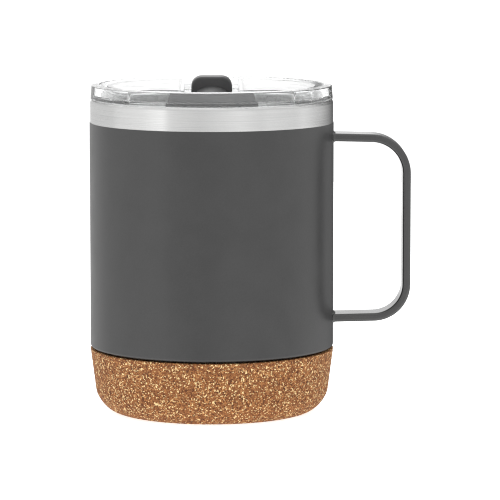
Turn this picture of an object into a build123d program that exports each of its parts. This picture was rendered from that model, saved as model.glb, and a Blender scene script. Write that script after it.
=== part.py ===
from build123d import *
from math import sqrt
import os

# Double-wall steel camp mug: cork base, welded strap handle, clear press-in lid with a slider.
# Millimetres. The origin is the centre of the flat underside and +Z is up. The handle points
# along +X, and the drinking side of the lid faces -Y.

# Driving dimensions
BODY_R = 42.0  # outside of the painted body
RIM_Z = 108.0  # top of the steel lip
CORK_TOP_Z = 22.0  # top edge of the cork
COAT_TOP_Z = 100.0  # top edge of the paint, with bare steel above it
MOUTH_R = 38.8  # inside of the steel mouth
STEEL = 0.5  # sheet thickness of both steel walls
COAT = 0.2  # thickness of the powder coat
PLASTIC = 1.5  # wall thickness of the lid moulding
LID_RISE = 5.1  # height of the lid's rim above the lip
TRAVEL = 5.7  # how far the slider opens, along +Y
GAP = 0.05  # between faces that slide or rest on each other
RUNNING = 0.08  # radial clearance of the gasket in the mouth and on the lid

# Steel body
SHELL_R = BODY_R - COAT
NECK_R = 38.4  # the shell is drawn in here, where the cork covers it
NECK_BEND_R = 1.0
SHELL_END_Z = 7.5
SHOULDER_Z = CORK_TOP_Z + 0.65
SHOULDER_R = 0.8
LIP_R = 1.2  # rounding of the steel lip
BASE_PLATE_Z = 10.0  # top of the welded base plate
BASE_PLATE_BEND_R = 1.2
LINER_FLOOR_Z = 13.5
LINER_LOW_R = 35.4
LINER_STEP_Z = 28.5
LINER_STEP_RISE = 4.0
LINER_STEP_R = 3.0
LINER_FLOOR_BEND_R = 7.0
DRINKING_EDGE_R = 0.2

# Vacuum seal and getter, between the two walls
EVACUATION_HOLE_R = 1.0
SOLDER_R = 2.4
SOLDER_DROP = 0.8
GETTER_X = 16.0
GETTER_R = 4.0
GETTER_HEIGHT = 2.0
GETTER_WALL = 0.8

# Cork
CORK_BORE_R = NECK_R + 0.1
CORK_TOP_R = 42.15
CORK_KNEE_R = 40.2  # where the straight side turns into the rounded foot
CORK_KNEE_Z = 7.5
CORK_FLAT_R = 32.6  # the flat that stands on the table
CORK_FOOT_REACH = 3.6  # how far the flat's direction carries into the rounded foot
CORK_KNEE_REACH = 2.9
CORK_KNEE_LEAN = 0.4
CORK_EDGE_R = 0.45
CORK_CHAMFER = 1.1  # clears the rounded corner of the shell
ADHESIVE = 0.3

# Handle
STRAP_WIDTH = 11.0
STRAP_THICK = 2.75
STRAP_EDGE_R = 0.9
STRAP_TOP_Z = 95.05  # centre of the upper arm where it meets the body
STRAP_LOW_Z = 32.35
STRAP_LEAN = 0.65  # how much the arms close in on each other, each
STRAP_OUT_X = 67.1  # centre of the grip
STRAP_HIGH_BEND_R = 12.3
STRAP_LOW_BEND_R = 11.4
WELD_R = 0.9  # weld fillet round each end
WELD_MARGIN = 1.6  # the end's patch is wider than the strap by this, all round

# Lid moulding
LID_SEAT_Z = RIM_Z + GAP
LID_TOP_Z = RIM_Z + LID_RISE
LID_RIM_R = 41.7
LID_RIM_TOP_R = 41.35
LID_RIM_FALL = 0.35  # the rim's flat top slopes down outwards by this
LID_RIM_EDGE_R = 0.3
GUTTER_IN_R = 36.6
GUTTER_OUT_R = 38.6
GUTTER_Z = 109.0
RECESS_Z = RIM_Z + 0.1  # floor of the drinking recess
CHANNEL_Z = 110.6  # floor of the slider's channel
CHANNEL_FLOOR_W = 10.9  # half-widths of the channel, which is undercut like a dovetail
CHANNEL_TOP_W = 8.7
PLATFORM_Z = 112.6
PLATFORM_R = 36.0
SKIRT_OUT_R = MOUTH_R - 0.9
SKIRT_IN_R = 34.7
SKIRT_END_Z = 99.6
GROOVE_R = 36.3
GROOVE_LOW_Z = 101.4
GROOVE_HIGH_Z = 106.4
PLUG_R = MOUTH_R - 0.4  # the moulding inside the mouth, above the groove
GASKET_LIP = 0.9  # height of each lip, and thickness of the ring between them

# Slider
COVER_R = GUTTER_IN_R - 0.25
COVER_BACK_Y = -29.9
COVER_TOP_Z = 112.25
COVER_TOP_W = 13.6  # half-widths of the cover's slanted ends
COVER_LOW_W = 14.8
PLATFORM_FRONT_Y = COVER_BACK_Y + TRAVEL + 0.2
HOLE_FRONT_R = 35.4
HOLE_BACK_Y = -30.75
HOLE_W = 9.0  # half-length of the drinking hole
HOLE_CORNER_R = 1.3
TAB_FRONT_Y = -14.0
TAB_BACK_Y = -4.5
TAB_W = 6.95
TAB_TOP_Z = 116.4
STEM_W = 2.5
STEM_FRONT_Y = -13.3
STEM_BACK_Y = -5.3
TAB_CORNER_R = 3.5
TAB_EDGE_R = 0.6
NECK_W = 5.0  # half-width of the bar between cover and tab
NECK_CROWN_R = 9.4
NECK_CROWN_Z = 113.2
NECK_FALL = 2.3  # degrees, down towards the cover
SLIDER_Z = CHANNEL_Z + GAP
SLIDER_LOW_Z = RECESS_Z + GAP
BARB_REACH = 0.5  # the snap barb at the stem's end, out to each side
BARB_HEIGHT = 0.6
BARB_CHAMFER = 0.45
RETAINER_WIDTH = 18.0
RETAINER_LENGTH = 14.0
RETAINER_CORNER_R = 2.0
RETAINER_THICK = 1.4
RETAINER_TOP_Z = CHANNEL_Z - PLASTIC - GAP
SEAL_THICK = 1.0
SEAL_MARGIN = 0.55
VENT_Y = 22.0
VENT_R = 0.9


def turned(corners):
    """Solid of revolution about Z, from (radius, height, corner rounding) triples."""
    points = [(r, z) for r, z, _ in corners]
    outline = FilletPolyline(*points, radius=[c[2] for c in corners], close=True)
    return revolve(Plane.XZ * make_face(outline), Axis.Z, 360)


def spun_sheet(corners, thickness):
    """Turned sheet metal. The corners run along one face, and the metal is on its left."""
    points = [(r, z) for r, z, _ in corners]
    face_line = FilletPolyline(*points, radius=[c[2] for c in corners[1:-1]])
    outline = offset(face_line, amount=thickness, side=Side.LEFT)
    return revolve(Plane.XZ * make_face(outline), Axis.Z, 360)


def ring(inner_r, outer_r, low_z, high_z):
    tube = Cylinder(outer_r, high_z - low_z) - Cylinder(inner_r, high_z - low_z)
    return Pos(0, 0, (low_z + high_z) / 2) * tube


def disc(radius, low_z, high_z):
    return Pos(0, 0, (low_z + high_z) / 2) * Cylinder(radius, high_z - low_z)


def block(low, high):
    """Box between two opposite corners."""
    middle = [(a + b) / 2 for a, b in zip(low, high)]
    size = [b - a for a, b in zip(low, high)]
    return Pos(*middle) * Box(*size)


def bar_along_y(section, low_y, high_y):
    """Prism along Y whose XZ section is the polygon of (x, z) points."""
    face = make_face(Polyline(*[(x, low_y, z) for x, z in section], close=True))
    return extrude(face, amount=high_y - low_y, dir=(0, 1, 0))


def outer_shell():
    return spun_sheet(
        [
            (NECK_R, SHELL_END_Z, 0),
            (NECK_R, SHOULDER_Z, NECK_BEND_R),
            (SHELL_R, SHOULDER_Z, SHOULDER_R),
            (SHELL_R, RIM_Z, LIP_R),
            (MOUTH_R + STEEL, RIM_Z, 0),
        ],
        STEEL,
    )


def inner_vessel():
    liner = spun_sheet(
        [
            (MOUTH_R, RIM_Z, 0),
            (MOUTH_R, LINER_STEP_Z + LINER_STEP_RISE / 2, LINER_STEP_R),
            (LINER_LOW_R, LINER_STEP_Z - LINER_STEP_RISE / 2, LINER_STEP_R),
            (LINER_LOW_R, LINER_FLOOR_Z, LINER_FLOOR_BEND_R),
            (0, LINER_FLOOR_Z, 0),
        ],
        STEEL,
    )
    lip_edges = liner.edges().filter_by(GeomType.CIRCLE).group_by(Axis.Z)[-1]
    drinking_edge = lip_edges.sort_by(SortBy.LENGTH)[0]
    return fillet(drinking_edge, DRINKING_EDGE_R)


def shell_base():
    plate_r = NECK_R - STEEL
    dish = spun_sheet(
        [(plate_r, SHELL_END_Z, 0), (plate_r, BASE_PLATE_Z, BASE_PLATE_BEND_R), (0, BASE_PLATE_Z, 0)],
        STEEL,
    )
    return dish - disc(EVACUATION_HOLE_R, BASE_PLATE_Z - 1, BASE_PLATE_Z + 1)


def vacuum_seal():
    """Bead of solder glass that plugs the evacuation hole from below."""
    plate_under_z = BASE_PLATE_Z - STEEL
    bead_z = plate_under_z - SOLDER_DROP
    return turned(
        [
            (0, bead_z, 0),
            (SOLDER_R * 2 / 3, bead_z, 0.4),
            (SOLDER_R, plate_under_z, 0),
            (EVACUATION_HOLE_R, plate_under_z, 0),
            (EVACUATION_HOLE_R, BASE_PLATE_Z, 0),
            (0, BASE_PLATE_Z, 0),
        ]
    )


def getter():
    """Small dish of getter metal, standing on the base plate."""
    dish = disc(GETTER_R, BASE_PLATE_Z, BASE_PLATE_Z + GETTER_HEIGHT)
    dish -= disc(GETTER_R - GETTER_WALL, BASE_PLATE_Z + GETTER_WALL, BASE_PLATE_Z + GETTER_HEIGHT + 1)
    return Pos(GETTER_X, 0, 0) * dish


def cork_base():
    foot_start = (CORK_FLAT_R, 0, 0)
    foot_pull = (CORK_FLAT_R + CORK_FOOT_REACH, 0, 0)
    knee_pull = (CORK_KNEE_R - CORK_KNEE_LEAN, 0, CORK_KNEE_Z - CORK_KNEE_REACH)
    knee = (CORK_KNEE_R, 0, CORK_KNEE_Z)
    outline = [
        Line((0, 0, 0), foot_start),
        Bezier(foot_start, foot_pull, knee_pull, knee),
        Line(knee, (CORK_TOP_R, 0, CORK_TOP_Z)),
        Polyline(
            (CORK_TOP_R, 0, CORK_TOP_Z),
            (CORK_BORE_R + CORK_CHAMFER, 0, CORK_TOP_Z),
            (CORK_BORE_R, 0, CORK_TOP_Z - CORK_CHAMFER),
            (CORK_BORE_R, 0, SHELL_END_Z - ADHESIVE),
            (0, 0, SHELL_END_Z - ADHESIVE),
            (0, 0, 0),
        ),
    ]
    cork = revolve(make_face(outline), Axis.Z, 360)
    top_edge = cork.edges().filter_by(GeomType.CIRCLE).sort_by(SortBy.LENGTH)[-1]
    return fillet(top_edge, CORK_EDGE_R)


def cork_adhesive():
    return disc(NECK_R, SHELL_END_Z - ADHESIVE, SHELL_END_Z)


def weld_patch(z):
    """Patch of the strap's end, as thick as the paint around it."""
    height = STRAP_THICK + 2 * WELD_MARGIN
    width = STRAP_WIDTH + 2 * WELD_MARGIN
    plate = Pos(BODY_R, 0, z) * Rot(0, 90, 0) * RectangleRounded(height, width, 2.0)
    return extrude(plate, amount=4, both=True) & ring(SHELL_R, BODY_R, z - height, z + height)


def handle_strap():
    inside_x = SHELL_R - 3
    path = FilletPolyline(
        (inside_x, 0, STRAP_TOP_Z),
        (STRAP_OUT_X, 0, STRAP_TOP_Z - STRAP_LEAN),
        (STRAP_OUT_X, 0, STRAP_LOW_Z + STRAP_LEAN),
        (inside_x, 0, STRAP_LOW_Z),
        radius=[STRAP_HIGH_BEND_R, STRAP_LOW_BEND_R],
    )
    start = Plane(origin=path @ 0, x_dir=(0, 1, 0), z_dir=path % 0)
    strap = sweep(start * RectangleRounded(STRAP_WIDTH, STRAP_THICK, STRAP_EDGE_R), path)
    strap -= disc(SHELL_R, 0, RIM_Z)
    for z in (STRAP_TOP_Z, STRAP_LOW_Z):
        strap += weld_patch(z)
    weld_line = [
        edge
        for edge in strap.edges()
        if abs(edge.center().Y) < STRAP_WIDTH / 2 + 0.2
        and abs(sqrt(edge.center().X ** 2 + edge.center().Y ** 2) - BODY_R) < 0.25
        and min(abs(edge.center().Z - z) for z in (STRAP_TOP_Z, STRAP_LOW_Z)) < STRAP_THICK / 2 + 0.3
    ]
    return fillet(weld_line, WELD_R)


def powder_coat():
    """Paint from just under the steel lip down round the shoulder."""
    coat = spun_sheet(
        [(SHELL_R, COAT_TOP_Z, 0), (SHELL_R, SHOULDER_Z, SHOULDER_R), (SHELL_R - 1.2, SHOULDER_Z, 0)],
        COAT,
    )
    for z in (STRAP_TOP_Z, STRAP_LOW_Z):
        coat -= weld_patch(z)
    return coat


def d_shape(radius, front_y, corner_r):
    """Flat D: a circle with its front cut off along a line of constant y."""
    face = Circle(radius) & Pos(0, front_y + BODY_R) * Rectangle(2 * BODY_R, 2 * BODY_R)
    if corner_r:
        corners = face.vertices().group_by(Axis.Y)[0]
        face = fillet(corners, corner_r)
    return face


def channel_bar(low_w, high_w, low_z, high_z):
    """The slider's channel as a solid bar, with slanted sides."""
    section = [(-low_w, low_z), (low_w, low_z), (high_w, high_z), (-high_w, high_z)]
    return bar_along_y(section, -BODY_R, BODY_R)


def drinking_hole(low_z, high_z, margin=0.0):
    """Kidney-shaped plug. A margin makes it larger all round, as for the seal above it."""
    front = disc(HOLE_FRONT_R + margin, low_z, high_z)
    window = block(
        (-HOLE_W - margin, -GUTTER_IN_R, low_z),
        (HOLE_W + margin, HOLE_BACK_Y + margin, high_z),
    )
    plug = front & window
    return fillet(plug.edges().filter_by(Axis.Z), HOLE_CORNER_R)


def lid_rim_and_skirt():
    """The turned part of the moulding: rim, gutter, flat deck and the skirt with its groove."""
    return turned(
        [
            (0, RECESS_Z - PLASTIC, 0),
            (0, RECESS_Z, 0),
            (GUTTER_IN_R, RECESS_Z, 0),
            (GUTTER_IN_R, GUTTER_Z, 0),
            (GUTTER_OUT_R, GUTTER_Z, 0.5),
            (GUTTER_OUT_R, LID_TOP_Z, LID_RIM_EDGE_R),
            (LID_RIM_TOP_R, LID_TOP_Z - LID_RIM_FALL, LID_RIM_EDGE_R),
            (LID_RIM_R, LID_SEAT_Z, 0.3),
            (PLUG_R, LID_SEAT_Z, 0.2),
            (PLUG_R, GROOVE_HIGH_Z, 0.2),
            (GROOVE_R, GROOVE_HIGH_Z, 0.2),
            (GROOVE_R, GROOVE_LOW_Z, 0.2),
            (SKIRT_OUT_R, GROOVE_LOW_Z, 0.3),
            (SKIRT_OUT_R - 0.4, SKIRT_END_Z, 0.5),
            (SKIRT_IN_R, SKIRT_END_Z, 0.5),
            (SKIRT_IN_R, RECESS_Z - PLASTIC, 1.0),
        ]
    )


def lid_platforms():
    """Two raised D-shaped platforms with the slider's channel between them, hollow below."""
    recess_floor = Pos(0, 0, RECESS_Z)
    step_outline = d_shape(GUTTER_IN_R + 0.1, PLATFORM_FRONT_Y, 0)
    step = extrude(recess_floor * step_outline, GUTTER_Z - RECESS_Z)
    raised_outline = d_shape(PLATFORM_R, PLATFORM_FRONT_Y, 2.5)
    raised = extrude(recess_floor * raised_outline, PLATFORM_Z - RECESS_Z)
    raised -= channel_bar(CHANNEL_FLOOR_W, CHANNEL_TOP_W, CHANNEL_Z, PLATFORM_Z)
    raised = fillet(raised.faces().group_by(Axis.Z)[-1].edges(), 0.4)
    return step + raised


def lid_hollow():
    """Space under the channel floor and up into both platforms."""
    low_z = RECESS_Z - PLASTIC - 1
    floor_under_z = CHANNEL_Z - PLASTIC
    top_z = PLATFORM_Z - PLASTIC
    outline = d_shape(PLATFORM_R - PLASTIC, PLATFORM_FRONT_Y + PLASTIC, 1.5)
    hollow = extrude(Pos(0, 0, low_z) * outline, top_z - low_z)
    lean = (CHANNEL_TOP_W - CHANNEL_FLOOR_W) / (PLATFORM_Z - CHANNEL_Z)
    foot_w = CHANNEL_FLOOR_W + PLASTIC
    head_w = foot_w + lean * (top_z - floor_under_z)
    hollow -= channel_bar(foot_w, head_w, floor_under_z, top_z)
    return fillet(hollow.faces().group_by(Axis.Z)[-1].edges(), 0.5)


def lid_body():
    lid = lid_rim_and_skirt() + lid_platforms()
    lid -= lid_hollow()
    lid -= drinking_hole(RECESS_Z - PLASTIC - 1, RECESS_Z + 1)
    slot = block(
        (-STEM_W - GAP, STEM_FRONT_Y - 0.2, CHANNEL_Z - PLASTIC - 1),
        (STEM_W + GAP, STEM_BACK_Y + TRAVEL + 0.2, CHANNEL_Z + 1),
    )
    lid -= fillet(slot.edges().filter_by(Axis.Z), 0.3)
    return lid - Pos(0, VENT_Y, CHANNEL_Z) * Cylinder(VENT_R, 4)


def lid_gasket():
    """Ring with two lips that wipe the mouth."""
    inner_r = GROOVE_R + RUNNING
    lip_r = MOUTH_R - RUNNING
    root_r = inner_r + GASKET_LIP
    low_z = GROOVE_LOW_Z + GAP
    high_z = GROOVE_HIGH_Z - GAP
    return turned(
        [
            (inner_r, low_z, 0),
            (lip_r, low_z + 0.2, 0.25),
            (lip_r, low_z + GASKET_LIP, 0.25),
            (root_r, low_z + GASKET_LIP + 0.4, 0.3),
            (root_r, high_z - GASKET_LIP - 0.4, 0.3),
            (lip_r, high_z - GASKET_LIP, 0.25),
            (lip_r, high_z - 0.2, 0.25),
            (inner_r, high_z, 0),
        ]
    )


def slider_cover():
    """Wide front end that closes the drinking hole."""
    front = disc(COVER_R, SLIDER_LOW_Z, COVER_TOP_Z)
    ends = bar_along_y(
        [
            (-COVER_LOW_W, SLIDER_LOW_Z),
            (COVER_LOW_W, SLIDER_LOW_Z),
            (COVER_TOP_W, COVER_TOP_Z),
            (-COVER_TOP_W, COVER_TOP_Z),
        ],
        -BODY_R,
        COVER_BACK_Y,
    )
    cover = front & ends
    cover = fillet(cover.faces().sort_by(Axis.Z)[-1].edges(), 0.5)
    return cover - drinking_hole(SLIDER_LOW_Z - 1, SLIDER_LOW_Z + SEAL_THICK, SEAL_MARGIN)


def slider_neck():
    """Crowned bar from the cover to the thumb tab."""
    axis_at_tab = Pos(0, TAB_FRONT_Y, NECK_CROWN_Z - NECK_CROWN_R)
    crown = axis_at_tab * Rot(90 + NECK_FALL, 0, 0) * Cylinder(NECK_CROWN_R, 60)
    bounds = block((-NECK_W, COVER_BACK_Y - 1.5, SLIDER_Z), (NECK_W, TAB_BACK_Y - 1, PLATFORM_Z + 1))
    return crown & bounds


def thumb_tab():
    face = Plane.XZ * (Pos(0, (SLIDER_Z + TAB_TOP_Z) / 2) * Rectangle(2 * TAB_W, TAB_TOP_Z - SLIDER_Z))
    face = fillet(face.vertices().group_by(Axis.Z)[-1], TAB_CORNER_R)
    tab = Pos(0, TAB_BACK_Y, 0) * extrude(face, amount=TAB_BACK_Y - TAB_FRONT_Y)
    outline = tab.faces().sort_by(Axis.Y)[0].edges() + tab.faces().sort_by(Axis.Y)[-1].edges()
    return fillet([edge for edge in outline if edge.center().Z > SLIDER_Z + 0.1], TAB_EDGE_R)


def stem_bar(low_z, high_z):
    bar = block((-STEM_W, STEM_FRONT_Y, low_z), (STEM_W, STEM_BACK_Y, high_z))
    return fillet(bar.edges().filter_by(Axis.Z), 0.5)


def lid_slider():
    """Cover, neck and tab, with a stem that snaps through the lid into the retainer."""
    stem_low_z = RETAINER_TOP_Z - RETAINER_THICK
    barb_w = STEM_W + BARB_REACH
    barb = block((-barb_w, STEM_FRONT_Y, stem_low_z - BARB_HEIGHT), (barb_w, STEM_BACK_Y, stem_low_z))
    barb = chamfer(barb.faces().sort_by(Axis.Z)[0].edges().filter_by(Axis.Y), BARB_CHAMFER)
    return slider_cover() + slider_neck() + thumb_tab() + stem_bar(stem_low_z, SLIDER_Z + 0.1) + barb


def slider_seal():
    return drinking_hole(SLIDER_LOW_Z, SLIDER_LOW_Z + SEAL_THICK, SEAL_MARGIN)


def slider_retainer():
    """Plate under the channel floor that the stem snaps into."""
    outline = RectangleRounded(RETAINER_WIDTH, RETAINER_LENGTH, RETAINER_CORNER_R)
    middle = Pos(0, (STEM_FRONT_Y + STEM_BACK_Y) / 2, RETAINER_TOP_Z - RETAINER_THICK)
    plate = middle * extrude(outline, RETAINER_THICK)
    return plate - stem_bar(RETAINER_TOP_Z - 3, RETAINER_TOP_Z + 1)


PARTS = {
    "outer_shell": outer_shell,
    "inner_vessel": inner_vessel,
    "shell_base": shell_base,
    "vacuum_seal": vacuum_seal,
    "getter": getter,
    "cork_base": cork_base,
    "cork_adhesive": cork_adhesive,
    "handle_strap": handle_strap,
    "powder_coat": powder_coat,
    "lid_body": lid_body,
    "lid_gasket": lid_gasket,
    "lid_slider": lid_slider,
    "slider_seal": slider_seal,
    "slider_retainer": slider_retainer,
}

os.makedirs("parts", exist_ok=True)
for name, make in PARTS.items():
    export_step(make(), f"parts/{name}.step")
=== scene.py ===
import math

import bmesh
import bpy
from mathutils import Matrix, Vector, noise


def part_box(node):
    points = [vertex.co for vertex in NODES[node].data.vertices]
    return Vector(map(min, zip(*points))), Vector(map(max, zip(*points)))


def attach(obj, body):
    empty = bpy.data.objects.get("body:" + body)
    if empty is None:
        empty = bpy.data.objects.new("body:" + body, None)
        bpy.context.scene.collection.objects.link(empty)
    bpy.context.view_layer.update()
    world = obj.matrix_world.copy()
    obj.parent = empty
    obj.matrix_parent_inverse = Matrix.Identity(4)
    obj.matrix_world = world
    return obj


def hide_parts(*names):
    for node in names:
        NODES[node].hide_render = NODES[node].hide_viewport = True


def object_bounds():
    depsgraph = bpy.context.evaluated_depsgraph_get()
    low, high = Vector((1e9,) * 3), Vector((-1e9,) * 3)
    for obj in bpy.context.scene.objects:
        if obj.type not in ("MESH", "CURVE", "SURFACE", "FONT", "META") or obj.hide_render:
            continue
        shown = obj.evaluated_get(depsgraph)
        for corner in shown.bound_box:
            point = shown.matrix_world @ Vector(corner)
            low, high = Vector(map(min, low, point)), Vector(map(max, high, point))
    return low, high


# Looks of the double-wall camp mug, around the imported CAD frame. Metres, +Z up, handle along +X.

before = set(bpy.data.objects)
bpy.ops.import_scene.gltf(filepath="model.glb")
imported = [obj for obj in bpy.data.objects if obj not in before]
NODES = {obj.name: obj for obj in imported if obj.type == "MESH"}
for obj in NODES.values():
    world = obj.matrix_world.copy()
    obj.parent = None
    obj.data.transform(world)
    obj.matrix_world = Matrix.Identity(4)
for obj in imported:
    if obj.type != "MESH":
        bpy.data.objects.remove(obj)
CAD_LOW, CAD_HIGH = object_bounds()

MM = 0.001
CORK_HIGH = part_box("cork_base")[1]
SHELL_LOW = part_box("outer_shell")[0]

# Cork foot, in the shape of its CAD solid
CORK_FLAT_R = 32.6 * MM  # the flat that stands on the table
CORK_KNEE_R = 40.2 * MM  # where the straight side turns into the rounded foot
CORK_KNEE_Z = 7.5 * MM
CORK_FOOT_REACH = 3.6 * MM  # how far the flat's direction carries into the rounded foot
CORK_KNEE_REACH = 2.9 * MM
CORK_KNEE_LEAN = 0.4 * MM
CORK_EDGE_R = 0.45 * MM
CORK_BORE_R = 38.5 * MM
CORK_CHAMFER = 1.1 * MM
CORK_GLUE = 0.3 * MM
CORK_INSET = 0.05 * MM  # keeps the side within the CAD box
CORK_CENTRE_R = 0.5 * MM  # small flat faces that close the skin on the axis

# Its mesh and its worked skin
CORK_STEP = 0.36 * MM  # mesh spacing on the side and the rounded foot
CORK_COARSE_STEP = 1.6 * MM  # and under the foot
CORK_FINE_BAND = 3 * MM  # the edge of the flat is as fine as the side
CORK_SEGMENTS = 720
CORK_EDGE_STEPS = 4
FOOT_CURVE_RATIO = 1.1  # the rounded foot is about a tenth longer than its chord
CORK_RELIEF = 0.16 * MM  # the deepest hollow
CORK_SEED = 7  # without a seed, noise_vector gives other values in each run
GRANULE = 0.8 * MM
PIT = 2.2 * MM
HOLLOW = "hollow"  # vertex attribute: how far the skin is sunk there, from 0 to 1; the material uses it to paint shade into the hollows
CORK_CHIP = 0.58 * MM  # chips of colour in the material

# Camera, at the photograph's viewing angle
CAMERA_PLACE = (-3.0 * MM, -1186.8 * MM, 197.2 * MM)
CAMERA_DIP = 6.807  # degrees below the horizon
CAMERA_TURN = 0.782  # degrees to the right of +Y
CAMERA_LENS = 248.85  # millimetres
SENSOR_WIDTH = 36  # millimetres

# Studio: how bright the walls are by compass angle, 0 towards the camera, + to its right
WALLS = [
    (-180, 1.15),
    (-174, 1.15),
    (-167, 0.70),
    (-134, 0.78),
    (-107, 0.80),
    (-103, 0.92),
    (-70, 1.00),
    (-46, 1.25),
    (-42, 0.88),
    (-11, 0.76),
    (27, 0.98),
    (48, 0.84),
    (54, 0.92),
    (88, 0.84),
    (96, 0.98),
    (126, 0.70),
    (146, 0.35),
    (160, 0.15),
    (173, 0.12),
    (177, 1.15),
    (180, 1.15),
]
CEILING = [  # likewise, overhead
    (-180, 1.4),
    (-120, 1.3),
    (-70, 1.0),
    (0, 1.1),
    (80, 1.0),
    (120, 1.2),
    (180, 1.4),
]
TABLE_GLOW = 1.5  # the pale table as polished faces see it, against the walls above it
FLOOR_GLOW = 0.75  # the table is lit from below
FLOOR_R = 0.8
BACKDROP = 1.2  # the white that the camera sees behind the cup
# Upward part of a direction, where the table and the ceiling begin and where they have taken over
TABLE_SPAN = (-0.05, -0.4)
CEILING_SPAN = (0.35, 0.75)


# ---------------------------------------------------------------- node helpers


def add(tree, kind, inputs=None, **settings):
    """New node. Inputs are named or numbered sockets, given a value or another node's output."""
    made = tree.nodes.new(kind)
    for key, value in settings.items():
        setattr(made, key, value)
    for key, value in (inputs or {}).items():
        if isinstance(value, bpy.types.NodeSocket):
            tree.links.new(value, made.inputs[key])
        else:
            made.inputs[key].default_value = value
    return made


def maths(tree, operation, *values):
    """One Math node over numbers or outputs."""
    node = add(tree, "ShaderNodeMath", dict(enumerate(values)), operation=operation)
    return node.outputs[0]


def weigh(tree, first, share, second):
    """Share of the first output, with the rest taken from the second."""
    parts = (maths(tree, "MULTIPLY", first, share), maths(tree, "MULTIPLY", second, 1 - share))
    return maths(tree, "ADD", *parts)


def remap(tree, value, low, high, new_low, new_high):
    """The value, with low to high stretched to new_low to new_high and held at both ends."""
    ends = {1: low, 2: high, 3: new_low, 4: new_high}
    return add(tree, "ShaderNodeMapRange", {0: value, **ends}).outputs[0]


def ramp(tree, value, stops):
    """Colour ramp over (position, colour) stops, where a colour is one number or three."""
    node = add(tree, "ShaderNodeValToRGB", {0: value})
    elements = node.color_ramp.elements
    while len(elements) < len(stops):
        elements.new(0.5)
    for element, (position, _) in zip(elements, stops):
        element.position = position
    for element, (_, colour) in zip(elements, stops):
        rgb = colour if isinstance(colour, tuple) else (colour,) * 3
        element.color = (*rgb, 1)
    return node.outputs["Color"]


def blend_colour(tree, factor, first, second):
    """From the first colour to the second, as the factor goes from 0 to 1."""
    node = add(tree, "ShaderNodeMix", data_type="RGBA")
    for socket, value in ((node.inputs[0], factor), (node.inputs[6], first), (node.inputs[7], second)):
        if isinstance(value, bpy.types.NodeSocket):
            tree.links.new(value, socket)
        elif isinstance(value, tuple):
            socket.default_value = (*value, 1)
        else:
            socket.default_value = value
    return node.outputs[2]


def place(tree, scale):
    """Object coordinates, stretched by a scale."""
    where = add(tree, "ShaderNodeTexCoord").outputs["Object"]
    return add(tree, "ShaderNodeMapping", {"Vector": where, "Scale": scale}).outputs[0]


def cloud(tree, size, detail=2.0, roughness=0.5, stretch=(1, 1, 1)):
    """Noise whose features are about that size, in metres."""
    inputs = {
        "Vector": place(tree, stretch),
        "Scale": 1 / size,
        "Detail": detail,
        "Roughness": roughness,
    }
    return add(tree, "ShaderNodeTexNoise", inputs).outputs[0]


def vector_maths(tree, operation, inputs):
    return add(tree, "ShaderNodeVectorMath", inputs, operation=operation).outputs[0]


def cells(tree, size, warp, feature="F1", stretch=(1, 1, 1)):
    """Voronoi cells about that size. Warp is how far noise moves their edges, and that noise's size."""
    amount, warp_size = warp
    where = place(tree, stretch)
    wobble = add(tree, "ShaderNodeTexNoise", {"Vector": where, "Scale": 1 / warp_size}).outputs[1]
    centred = vector_maths(tree, "SUBTRACT", {0: wobble, 1: (0.5,) * 3})
    moved = vector_maths(tree, "SCALE", {0: centred, "Scale": amount})
    where = vector_maths(tree, "ADD", {0: where, 1: moved})
    return add(tree, "ShaderNodeTexVoronoi", {"Vector": where, "Scale": 1 / size}, feature=feature)


def luck_of(tree, cell, channel):
    """A random number for each cell: one channel of its colour."""
    return add(tree, "ShaderNodeSeparateColor", {0: cell.outputs["Color"]}).outputs[channel]


def relief(tree, height, depth, strength, normal=None):
    """Bump of a real depth, in metres."""
    inputs = {"Height": height, "Distance": depth, "Strength": strength}
    if normal:
        inputs["Normal"] = normal
    return add(tree, "ShaderNodeBump", inputs).outputs[0]


def material(name, **constants):
    """New material with one Principled shader. Constants go on its own sockets."""
    made = bpy.data.materials.new(name)
    made.use_nodes = True
    tree = made.node_tree
    shader = tree.nodes["Principled BSDF"]
    for key, value in constants.items():
        socket = shader.inputs[key.replace("_", " ")]
        socket.default_value = (*value, 1) if isinstance(value, tuple) and len(value) == 3 else value
    return made, tree, shader


def drive(tree, shader, **sources):
    """Link outputs to the shader's sockets."""
    for key, value in sources.items():
        tree.links.new(value, shader.inputs[key.replace("_", " ")])


# ---------------------------------------------------------------- materials


def powder_paint(name, ior, rough_low, rough_high):
    """Dark grey powder coat: satin, with fine orange peel and a faint drift in tone."""
    made, tree, shader = material(name, IOR=ior)
    drift = cloud(tree, 9 * MM, detail=3)
    speck = cloud(tree, 0.5 * MM, detail=2)
    tone = weigh(tree, drift, 0.5, speck)
    colour = ramp(tree, tone, [(0.32, (0.027, 0.027, 0.027)), (0.68, (0.036, 0.036, 0.036))])
    rough = remap(tree, drift, 0.3, 0.7, rough_low, rough_high)
    peel = relief(tree, cloud(tree, 0.55 * MM, detail=1.5), 0.02 * MM, 0.6)
    drive(tree, shader, Base_Color=colour, Roughness=rough, Normal=peel)
    return made


def brushed_steel(name, dark, light, rough_low, rough_high, anisotropy):
    """Stainless sheet with brush lines running round the cup."""
    made, tree, shader = material(name, Metallic=1.0, Anisotropic=anisotropy)
    shader.inputs["Anisotropic Rotation"].default_value = 0.25
    tangent = add(tree, "ShaderNodeTangent", direction_type="RADIAL", axis="Z").outputs[0]
    fine = cloud(tree, 1.0 * MM, detail=3, roughness=0.7, stretch=(0.03, 0.03, 8))
    broad = cloud(tree, 1.0 * MM, detail=2, stretch=(0.02, 0.02, 1.6))
    streak = weigh(tree, fine, 0.75, broad)
    colour = ramp(tree, streak, [(0.35, dark), (0.65, light)])
    rough = remap(tree, streak, 0.35, 0.65, rough_high, rough_low)
    lines = relief(tree, fine, 0.004 * MM, 0.5)
    drive(tree, shader, Base_Color=colour, Roughness=rough, Tangent=tangent, Normal=lines)
    return made


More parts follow.
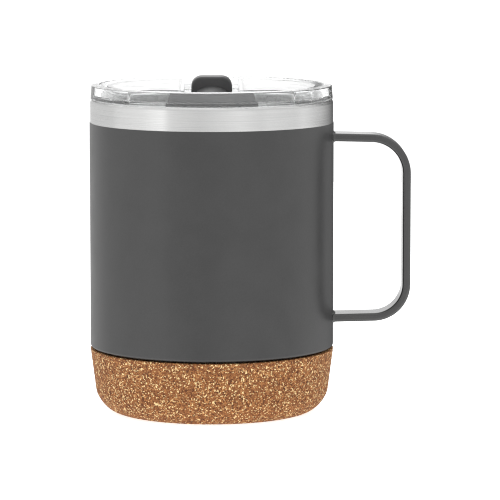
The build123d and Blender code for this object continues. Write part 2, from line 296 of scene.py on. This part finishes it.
def cork_grain():
    """Pressed cork: irregular granules in many browns, pale flecks and dark seams, with painted shade
    darkening the hollows.
    """
    made, tree, shader = material("cork_grain")
    shader.inputs["Specular IOR Level"].default_value = 0.25
    warp = (0.45 * MM, 0.6 * MM)
    grain = cells(tree, CORK_CHIP, warp)
    seam = cells(tree, CORK_CHIP, warp, feature="DISTANCE_TO_EDGE").outputs[0]
    grain_luck = luck_of(tree, grain, 0)
    colour = ramp(
        tree,
        grain_luck,
        [
            (0.0, (0.19, 0.064, 0.022)),
            (0.2, (0.28, 0.105, 0.036)),
            (0.6, (0.40, 0.167, 0.056)),
            (0.85, (0.52, 0.236, 0.084)),
            (1.0, (0.64, 0.334, 0.130)),
        ],
    )
    gap = ramp(tree, seam, [(0.0, 0.7), (0.08, 0.3), (0.16, 0.0)])
    colour = blend_colour(tree, gap, colour, (0.12, 0.040, 0.017))
    for size, stretch in ((0.40 * MM, (1, 1, 0.6)), (0.33 * MM, (0.8, 0.8, 1.5))):
        chip = cells(tree, size, (0.25 * MM, 0.5 * MM), stretch=stretch)
        luck = luck_of(tree, chip, 1)
        flecks = ramp(tree, luck, [(0.0, 0.0), (0.94, 0.0), (0.95, 1.0), (1.0, 1.0)])
        colour = blend_colour(tree, flecks, colour, (0.98, 0.73, 0.37))
        dark_chips = ramp(tree, luck, [(0.0, 1.0), (0.10, 0.9), (0.12, 0.0), (1.0, 0.0)])
        colour = blend_colour(tree, dark_chips, colour, (0.086, 0.029, 0.013))
    # Painted shade: the colour darkens where the skin is sunk, most in the pits
    hollow = add(tree, "ShaderNodeAttribute", attribute_name=HOLLOW).outputs["Fac"]
    sunk = remap(tree, hollow, 0.25, 1.0, 0.0, 0.5)
    colour = blend_colour(tree, sunk, colour, (0.11, 0.038, 0.016))
    dust = cloud(tree, 0.3 * MM, detail=3, roughness=0.7)
    colour = blend_colour(tree, remap(tree, dust, 0.3, 0.7, 0.0, 0.15), colour, (0.39, 0.168, 0.062))
    rough = remap(tree, dust, 0.3, 0.7, 0.72, 0.92)
    coarse = relief(tree, ramp(tree, seam, [(0.0, 0.0), (0.2, 1.0)]), 0.10 * MM, 0.5)
    fine = relief(tree, dust, 0.05 * MM, 0.5, coarse)
    drive(tree, shader, Base_Color=colour, Roughness=rough, Normal=fine)
    return made


def clear_plastic():
    """Clear moulded lid: glassy, with faint flow waves and hairline wear."""
    made, tree, shader = material("clear_plastic", Transmission_Weight=0.975, IOR=1.57)
    haze = cloud(tree, 6 * MM, detail=2)
    hair = cloud(tree, 1.0 * MM, detail=2, stretch=(0.2, 3, 1))
    colour = ramp(tree, haze, [(0.3, (0.975, 0.985, 0.985)), (0.7, (0.995, 0.998, 0.998))])
    rough = remap(tree, hair, 0.45, 0.75, 0.002, 0.015)
    flow = relief(tree, cloud(tree, 9 * MM, detail=1), 0.10 * MM, 0.12)
    drive(tree, shader, Base_Color=colour, Roughness=rough, Normal=flow)
    return made


def moulded_plastic(name, dark, light, rough_low, rough_high, grain):
    """Opaque moulded part with a fine spark-eroded texture."""
    made, tree, shader = material(name)
    speck = cloud(tree, grain, detail=2)
    drift = cloud(tree, 5 * MM, detail=2)
    tone = weigh(tree, speck, 0.4, drift)
    colour = ramp(tree, tone, [(0.32, dark), (0.68, light)])
    rough = remap(tree, speck, 0.3, 0.7, rough_low, rough_high)
    texture = relief(tree, speck, 0.012 * MM, 0.5)
    drive(tree, shader, Base_Color=colour, Roughness=rough, Normal=texture)
    return made


def clear_rubber():
    """Milky clear silicone."""
    made, tree, shader = material("clear_rubber", Transmission_Weight=0.2, IOR=1.41)
    haze = cloud(tree, 2 * MM, detail=3)
    colour = ramp(tree, haze, [(0.3, (0.92, 0.93, 0.93)), (0.7, (0.97, 0.98, 0.98))])
    rough = remap(tree, haze, 0.3, 0.7, 0.22, 0.34)
    skin = relief(tree, cloud(tree, 0.7 * MM), 0.02 * MM, 0.4)
    drive(tree, shader, Base_Color=colour, Roughness=rough, Normal=skin)
    return made


def light_table():
    """Pale, matt table that glows a little, as if lit from below."""
    made, tree, shader = material("light_table", Emission_Strength=FLOOR_GLOW, Emission_Color=(1, 1, 1))
    shader.inputs["Specular IOR Level"].default_value = 0.0
    fibre = cloud(tree, 4 * MM, detail=4)
    colour = ramp(tree, fibre, [(0.3, (0.88, 0.88, 0.88)), (0.7, (0.92, 0.92, 0.92))])
    rough = remap(tree, fibre, 0.3, 0.7, 0.9, 1.0)
    drive(tree, shader, Base_Color=colour, Roughness=rough)
    return made


def finish_with(names, made):
    """Give CAD nodes a material in place of their own."""
    for name in names:
        slots = NODES[name].data.materials
        slots.clear()
        slots.append(made)


def dress_the_frame():
    """A detailed material for every CAD node that stays visible."""
    finish_with(["powder_coat"], powder_paint("powder_paint", 1.58, 0.31, 0.37))
    finish_with(["handle_strap"], powder_paint("handle_paint", 1.70, 0.12, 0.18))
    finish_with(
        ["outer_shell", "shell_base"],
        brushed_steel("brushed_steel_band", (0.58, 0.58, 0.575), (0.73, 0.73, 0.725), 0.20, 0.32, 0.85),
    )
    # Painted light: the liner's steel gets a much lighter colour than the same steel outside, to lift the
    # dim inside of the cup
    finish_with(
        ["inner_vessel"],
        brushed_steel("liner_steel_painted_lighter", (0.87, 0.87, 0.86), (0.95, 0.95, 0.94), 0.30, 0.42, 0.4),
    )
    finish_with(["lid_body"], clear_plastic())
    finish_with(["lid_gasket"], clear_rubber())
    finish_with(
        ["lid_slider", "slider_retainer"],
        moulded_plastic(
            "slider_grey", (0.052, 0.052, 0.053), (0.066, 0.066, 0.067), 0.34, 0.46, 0.35 * MM
        ),
    )
    finish_with(
        ["slider_seal"],
        moulded_plastic("seal_rubber", (0.16, 0.16, 0.17), (0.22, 0.22, 0.23), 0.5, 0.62, 0.5 * MM),
    )
    finish_with(
        ["vacuum_seal"],
        moulded_plastic("solder_glass", (0.03, 0.03, 0.035), (0.06, 0.06, 0.065), 0.15, 0.3, 0.4 * MM),
    )
    finish_with(
        ["getter"],
        brushed_steel("getter_metal", (0.40, 0.40, 0.42), (0.55, 0.55, 0.57), 0.4, 0.55, 0.0),
    )
    finish_with(
        ["cork_adhesive"],
        moulded_plastic("dry_glue", (0.42, 0.36, 0.22), (0.55, 0.48, 0.32), 0.4, 0.6, 0.8 * MM),
    )


# ---------------------------------------------------------------- cork


def smooth_step(value, low, high):
    """From 0 at low to 1 at high, level at both ends."""
    t = min(1.0, max(0.0, (value - low) / (high - low)))
    return t * t * (3 - 2 * t)


def bezier(points, t):
    """Point at t on the Bezier curve through any number of control points."""
    while len(points) > 1:
        points = [a.lerp(b, t) for a, b in zip(points, points[1:])]
    return points[0]


def stretch_of_line(start, end, step):
    """Points from start towards end, about a step apart, without the end itself."""
    count = max(1, round((end - start).length / step))
    return [start.lerp(end, i / count) for i in range(count)]


def cork_outline():
    """(radius, height) points round the cork's half section, and how many of them are its worn skin."""
    flat_end = Vector((CORK_FLAT_R, 0))
    fine_start = flat_end - Vector((CORK_FINE_BAND, 0))
    knee = Vector((CORK_KNEE_R, CORK_KNEE_Z))
    foot_pull = flat_end + Vector((CORK_FOOT_REACH, 0))
    knee_pull = knee - Vector((CORK_KNEE_LEAN, CORK_KNEE_REACH))
    foot = [flat_end, foot_pull, knee_pull, knee]
    top_z = CORK_HIGH.z
    shoulder = Vector((CORK_HIGH.x - CORK_INSET, top_z - CORK_EDGE_R))
    points = stretch_of_line(Vector((CORK_CENTRE_R, 0)), fine_start, CORK_COARSE_STEP)
    points += stretch_of_line(fine_start, flat_end, CORK_STEP)
    foot_steps = round((knee - flat_end).length * FOOT_CURVE_RATIO / CORK_STEP)
    points += [bezier(foot, i / foot_steps) for i in range(foot_steps)]
    points += stretch_of_line(knee, shoulder, CORK_STEP)
    for i in range(CORK_EDGE_STEPS + 1):
        turn = i / CORK_EDGE_STEPS * math.pi / 2
        points.append(shoulder + Vector((math.cos(turn) - 1, math.sin(turn))) * CORK_EDGE_R)
    skin = len(points)
    seat_z = SHELL_LOW.z - CORK_GLUE
    points += [
        Vector((CORK_BORE_R + CORK_CHAMFER, top_z)),
        Vector((CORK_BORE_R, top_z - CORK_CHAMFER)),
        Vector((CORK_BORE_R, seat_z)),
        Vector((CORK_CENTRE_R, seat_z)),
    ]
    return points, skin


def granule_depth(spot):
    """From 0 to 1, how far the cork's surface lies back there: seams, uneven granules and a few pits."""
    near = spot / GRANULE
    wander = noise.noise_vector(near * 1.3) * 0.35
    distances, points = noise.voronoi(near + wander)
    seam = 1 - smooth_step(distances[1] - distances[0], 0.0, 0.3)
    level = 0.5 + 0.5 * noise.noise(points[0] * 5.7)
    pit = smooth_step(noise.noise(spot / PIT), 0.42, 0.62)
    return min(1.0, 0.4 * seam + 0.3 * level + 0.6 * pit)


def cork_rings(shape, hollow):
    """Rings of vertices round the axis, one for each point of the outline, sunk where the cork is worn."""
    outline, skin = cork_outline()
    rings = []
    for index, point in enumerate(outline):
        before = outline[max(index - 1, 0)]
        after = outline[min(index + 1, len(outline) - 1)]
        along = (after - before).normalized()
        outwards = Vector((along.y, -along.x))
        worn = CORK_STEP < point.x and 0 < index < skin
        ring = []
        for step in range(CORK_SEGMENTS):
            angle = 2 * math.pi * step / CORK_SEGMENTS
            across = Vector((math.cos(angle), math.sin(angle), 0))
            spot = across * point.x + Vector((0, 0, point.y))
            depth = granule_depth(spot) if worn else 0.0
            inwards = across * -outwards.x + Vector((0, 0, -outwards.y))
            vertex = shape.verts.new(spot + inwards * depth * CORK_RELIEF)
            vertex[hollow] = depth
            ring.append(vertex)
        rings.append(ring)
    return rings


def cork_mesh():
    """The cork foot as one closed skin, its outside worked into granules, seams and small pits."""
    noise.seed_set(CORK_SEED)
    shape = bmesh.new()
    rings = cork_rings(shape, shape.verts.layers.float.new(HOLLOW))
    for low_ring, high_ring in zip(rings, rings[1:]):
        for step in range(CORK_SEGMENTS):
            beside = (step + 1) % CORK_SEGMENTS
            shape.faces.new((low_ring[step], low_ring[beside], high_ring[beside], high_ring[step]))
    shape.faces.new(list(reversed(rings[0])))
    shape.faces.new(rings[-1])
    bmesh.ops.recalc_face_normals(shape, faces=shape.faces)
    mesh = bpy.data.meshes.new("cork_foot")
    shape.to_mesh(mesh)
    shape.free()
    mesh.polygons.foreach_set("use_smooth", [True] * len(mesh.polygons))
    return mesh


def cork_piece():
    mesh = cork_mesh()
    mesh.materials.append(cork_grain())
    piece = bpy.data.objects.new("cork_foot", mesh)
    bpy.context.scene.collection.objects.link(piece)
    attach(piece, "cup")
    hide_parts("cork_base")


# ---------------------------------------------------------------- studio


def surroundings():
    """Studio light all round, in soft vertical panels, with a bright ceiling and a white backdrop."""
    world = bpy.data.worlds.new("studio")
    bpy.context.scene.world = world
    world.use_nodes = True
    tree = world.node_tree
    tree.nodes.clear()
    direction = add(tree, "ShaderNodeTexCoord").outputs["Generated"]
    axes = add(tree, "ShaderNodeSeparateXYZ", {0: direction}).outputs
    towards_camera = maths(tree, "MULTIPLY", axes[1], -1.0)
    compass = maths(tree, "ARCTAN2", axes[0], towards_camera)
    turn = remap(tree, compass, -math.pi, math.pi, 0.0, 1.0)
    walls, ceiling = (
        ramp(tree, turn, [((angle + 180) / 360, level) for angle, level in levels])
        for levels in (WALLS, CEILING)
    )
    below = maths(tree, "MULTIPLY", walls, remap(tree, axes[2], *TABLE_SPAN, 1.0, TABLE_GLOW))
    span = {0: axes[2], 1: CEILING_SPAN[0], 2: CEILING_SPAN[1]}
    climb = add(tree, "ShaderNodeMapRange", span, interpolation_type="SMOOTHSTEP")
    level = blend_colour(tree, climb.outputs[0], below, ceiling)
    seen = add(tree, "ShaderNodeLightPath").outputs["Is Camera Ray"]
    level = blend_colour(tree, seen, level, (BACKDROP,) * 3)
    back = add(tree, "ShaderNodeBackground", {"Color": level})
    add(tree, "ShaderNodeOutputWorld", {"Surface": back.outputs[0]})


def floor():
    """Round table top under the cup. Polished faces see the world's table instead."""
    mesh = bpy.data.meshes.new("studio_floor")
    shape = bmesh.new()
    bmesh.ops.create_circle(shape, cap_ends=True, radius=FLOOR_R, segments=96)
    shape.to_mesh(mesh)
    shape.free()
    mesh.materials.append(light_table())
    disc = bpy.data.objects.new("studio_floor", mesh)
    disc.location.z = CAD_LOW.z
    bpy.context.scene.collection.objects.link(disc)
    disc.visible_glossy = False


def camera():
    data = bpy.data.cameras.new("camera")
    data.lens = CAMERA_LENS
    data.sensor_width = SENSOR_WIDTH
    made = bpy.data.objects.new("camera", data)
    made.location = CAMERA_PLACE
    made.rotation_euler = (math.radians(90 - CAMERA_DIP), 0, math.radians(-CAMERA_TURN))
    bpy.context.scene.collection.objects.link(made)
    bpy.context.scene.camera = made


dress_the_frame()
cork_piece()
surroundings()
floor()
camera()
bpy.context.scene.view_settings.view_transform = "Standard"
bpy.context.scene.cycles.filter_width = 1.1
bpy.context.scene.cycles.glossy_bounces = 12  # for reflections inside the clear lid
